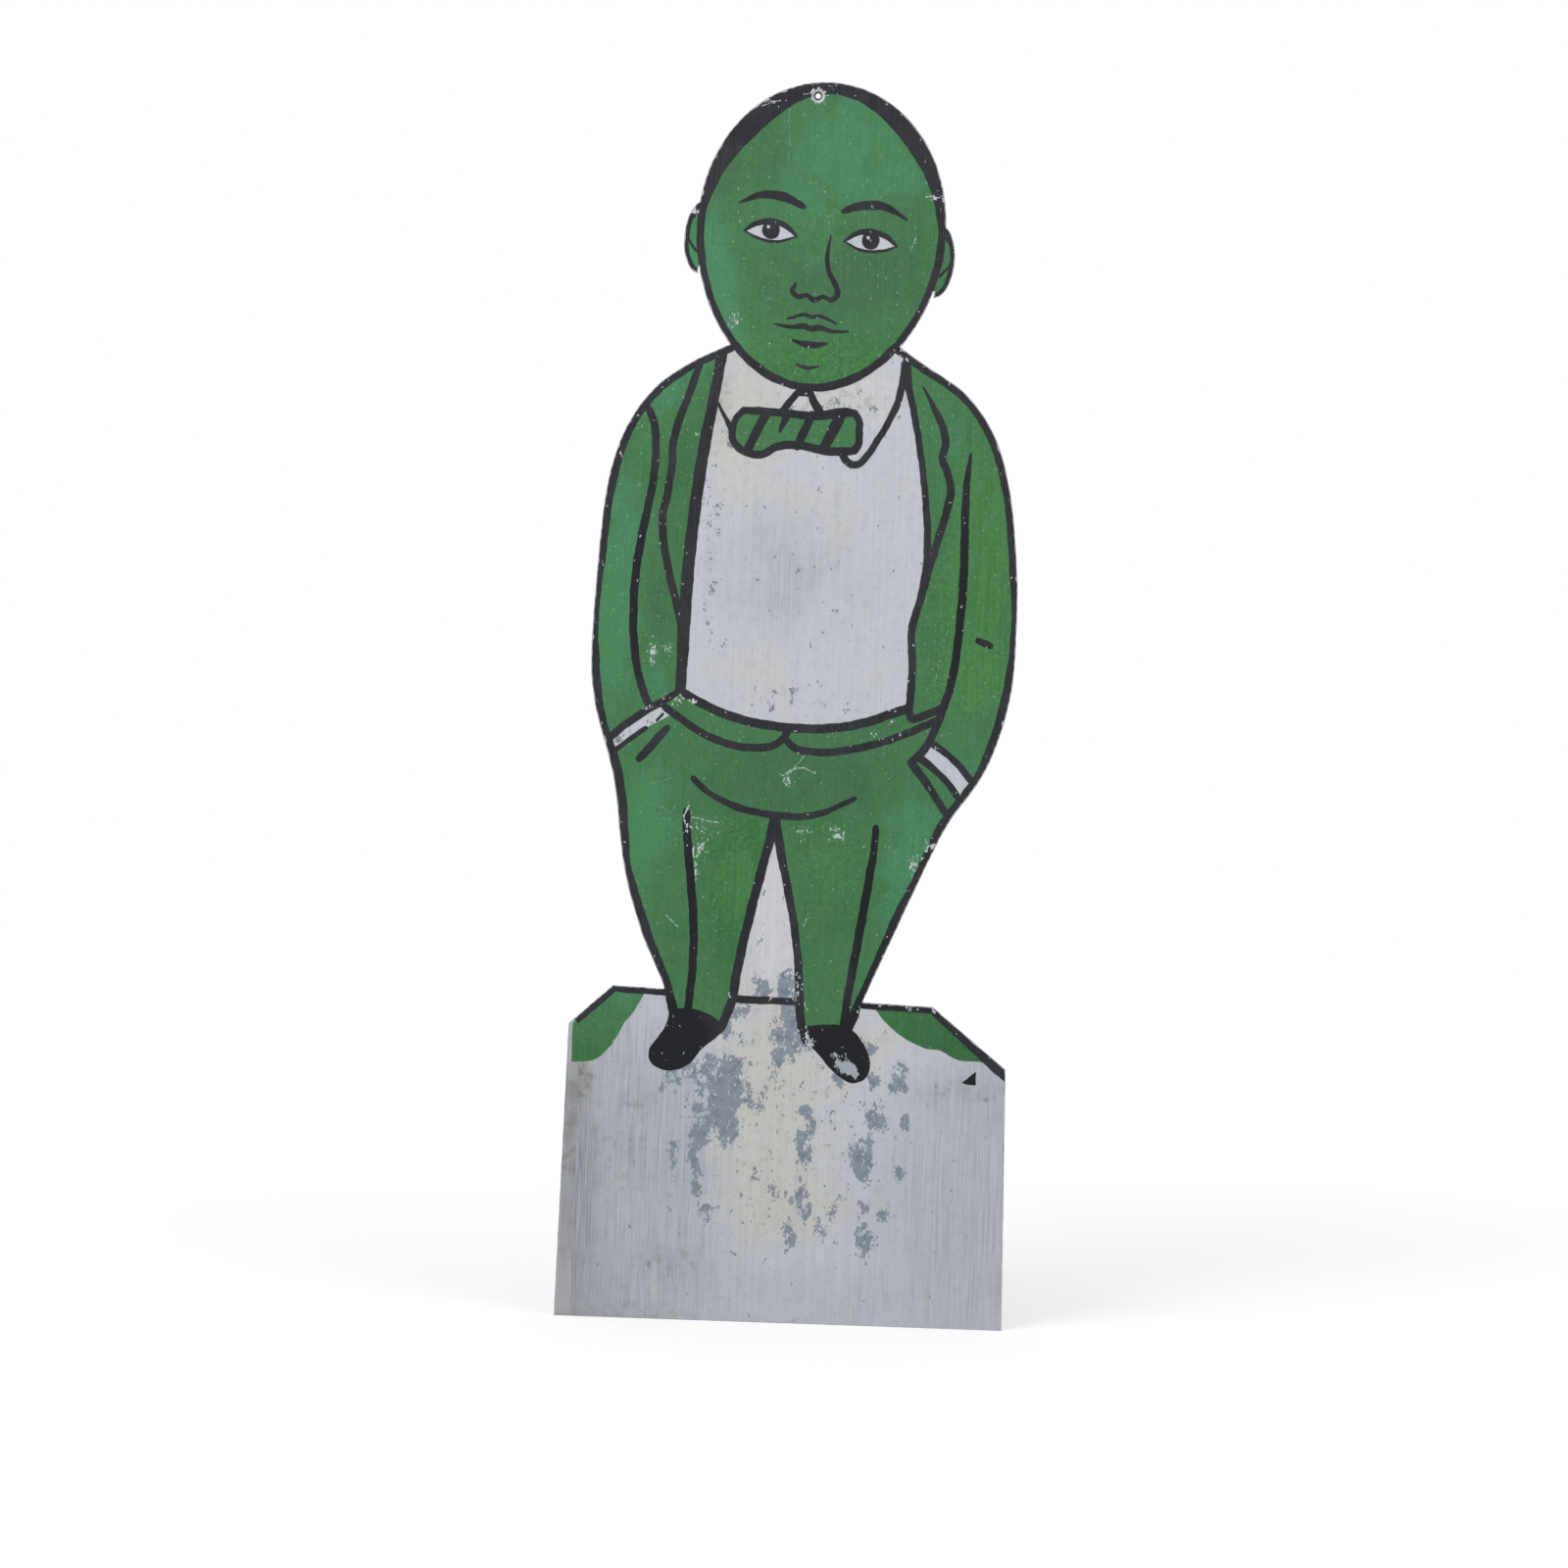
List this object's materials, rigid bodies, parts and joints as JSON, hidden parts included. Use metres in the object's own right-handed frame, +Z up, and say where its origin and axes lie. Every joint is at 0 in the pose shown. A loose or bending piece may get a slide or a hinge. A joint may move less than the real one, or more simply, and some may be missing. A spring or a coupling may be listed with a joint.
{
  "type": "figural advertising sign",
  "caption": "Flat painted sheet-metal sign cut to the shape of a standing gentleman on a pedestal, hung on one nail through its crown.",
  "frame": {"origin": "middle of the sign's depth, under the middle of the pedestal's foot edge", "axes": "+Z up, the painted front towards -Y, +X to the viewer's right"},
  "size_m": [0.329, 0.0028, 0.9125],
  "materials": {
    "bare_metal": "dull, aged, with a light cut edge",
    "pale_enamel": "brushed pale grey enamel, yellowed in places and flaked to the metal",
    "green_enamel": "satin green enamel, faded bluish in broad patches, scratched",
    "black_enamel": "satin black brushwork with pale pin dots"
  },
  "bodies": {
    "root": {"sheet_blank": "bare_metal", "pale_ground": "pale_enamel", "green_head": "green_enamel", "green_left_ear": "green_enamel", "green_right_ear": "green_enamel", "green_bow_tie": "green_enamel", "green_left_sleeve": "green_enamel", "green_left_front": "green_enamel", "green_right_jacket": "green_enamel", "green_left_waistband": "green_enamel", "green_right_waistband": "green_enamel", "green_right_pocket": "green_enamel", "green_trousers": "green_enamel", "green_left_corner": "green_enamel", "green_right_corner": "green_enamel", "black_key_lines": "black_enamel", "black_left_eye": "black_enamel", "black_right_eye": "black_enamel", "black_left_brow": "black_enamel", "black_right_brow": "black_enamel", "black_nose": "black_enamel", "black_mouth": "black_enamel", "black_upper_lip": "black_enamel", "black_lower_lip": "black_enamel", "black_chin": "black_enamel", "black_left_pocket_mark": "black_enamel", "black_right_sleeve_mark": "black_enamel", "black_cuff_crease": "black_enamel", "black_pedestal_mark": "black_enamel"}
  },
  "joints": []
}
